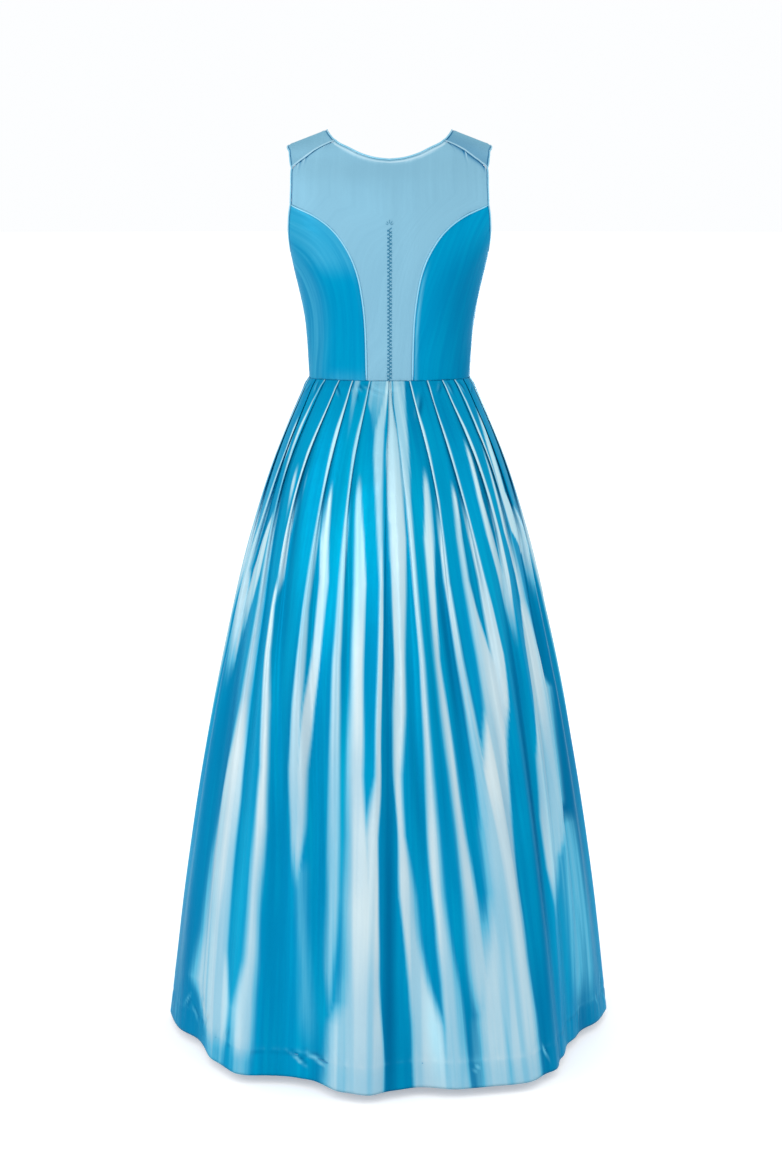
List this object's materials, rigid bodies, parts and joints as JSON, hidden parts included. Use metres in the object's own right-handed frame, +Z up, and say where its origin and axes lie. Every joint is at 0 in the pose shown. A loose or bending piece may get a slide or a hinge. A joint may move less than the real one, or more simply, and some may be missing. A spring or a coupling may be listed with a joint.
{
  "type": "dirndl",
  "caption": "Sleeveless satin folk dress, floor length: fitted bodice with piped back panels over a full pleated skirt, filled out as worn.",
  "frame": {"origin": "midway between the shoulders, at the height of the neck ends of the shoulder line, where the wearer carries the dress", "axes": "+Z up along the length of the dress, the front faces -Y, the wearer's left is +X"},
  "size_m": [0.7389, 0.7001, 1.4624],
  "materials": {
    "satin": "smooth glossy satin, sky blue",
    "satin_light": "smooth satin, paler sky blue",
    "piping": "satin over a cord"
  },
  "bodies": {
    "root": {"back_center": "satin_light", "back_side_left": "satin", "back_side_right": "satin", "front_left": "satin_light", "front_right": "satin_light", "front_side_left": "satin", "front_side_right": "satin", "back_seam_piping_left": "piping", "back_seam_piping_right": "piping", "armhole_piping_left": "piping", "armhole_piping_right": "piping", "neck_piping": "piping", "skirt_back": "satin", "skirt_front_left": "satin", "skirt_front_right": "satin"}
  },
  "joints": []
}
